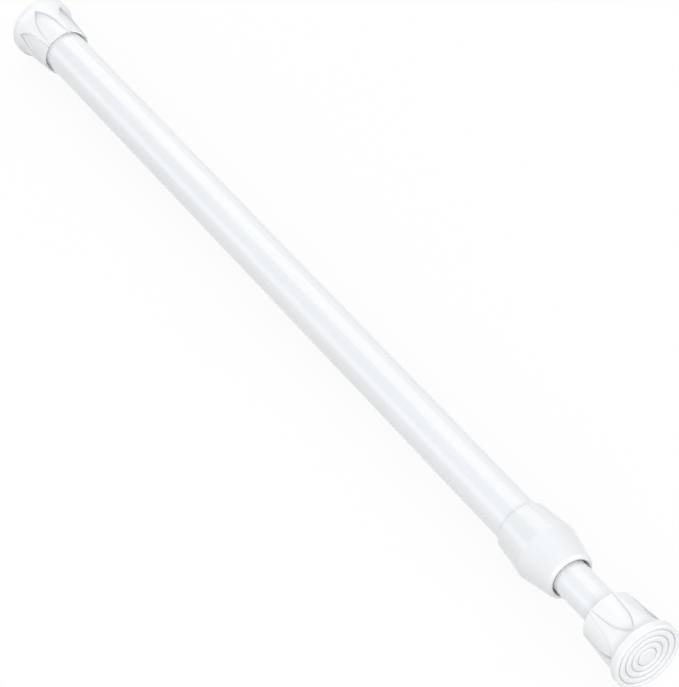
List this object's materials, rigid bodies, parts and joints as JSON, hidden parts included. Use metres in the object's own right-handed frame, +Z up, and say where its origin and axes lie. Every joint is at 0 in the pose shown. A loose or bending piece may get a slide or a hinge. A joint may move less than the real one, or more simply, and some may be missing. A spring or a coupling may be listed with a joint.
{
  "type": "spring tension rod",
  "caption": "Telescopic white spring tension rod with a double-cone collar, leaf-sided rubber feet with ringed faces, a twist lock and an inner coil spring.",
  "frame": {"origin": "middle of the rear foot's face, on the rod's axis", "axes": "+X along the rod from the rear foot to the front foot, +Z up"},
  "size_m": [0.386, 0.0238, 0.0238],
  "materials": {
    "coated_steel": "smooth glossy white coating on steel tube",
    "collar_plastic": "satin white moulded plastic",
    "foot_rubber": "satin white moulded rubber",
    "lock_plastic": "natural moulded nylon",
    "spring_steel": "bright drawn spring wire",
    "plated_steel": "zinc plated"
  },
  "bodies": {
    "outer": {"outer_tube": "coated_steel", "collar": "collar_plastic", "rear_foot": "foot_rubber"},
    "lock": {"lock_ring": "lock_plastic"},
    "core": {"spindle": "lock_plastic", "compression_spring": "spring_steel", "tail_washer": "plated_steel", "tail_screw": "plated_steel"},
    "inner": {"inner_tube": "coated_steel", "guide_bush": "lock_plastic", "front_foot": "foot_rubber"}
  },
  "joints": [
    {"name": "length_slide", "type": "slide", "parent": "outer", "child": "lock", "axis": [1, 0, 0], "range_m": [0, 0.276]},
    {"name": "twist_lock", "type": "hinge", "parent": "lock", "child": "core", "pos_m": [0.0147, 0, 0], "axis": [-1, 0, 0], "range_deg": [0, 20]},
    {"name": "spring_push", "type": "slide", "parent": "core", "child": "inner", "axis": [-1, 0, 0], "range_m": [0, 0.012], "stiffness_N_per_m": 1900, "springref_m": -0.003, "deforming": ["compression_spring"]}
  ]
}
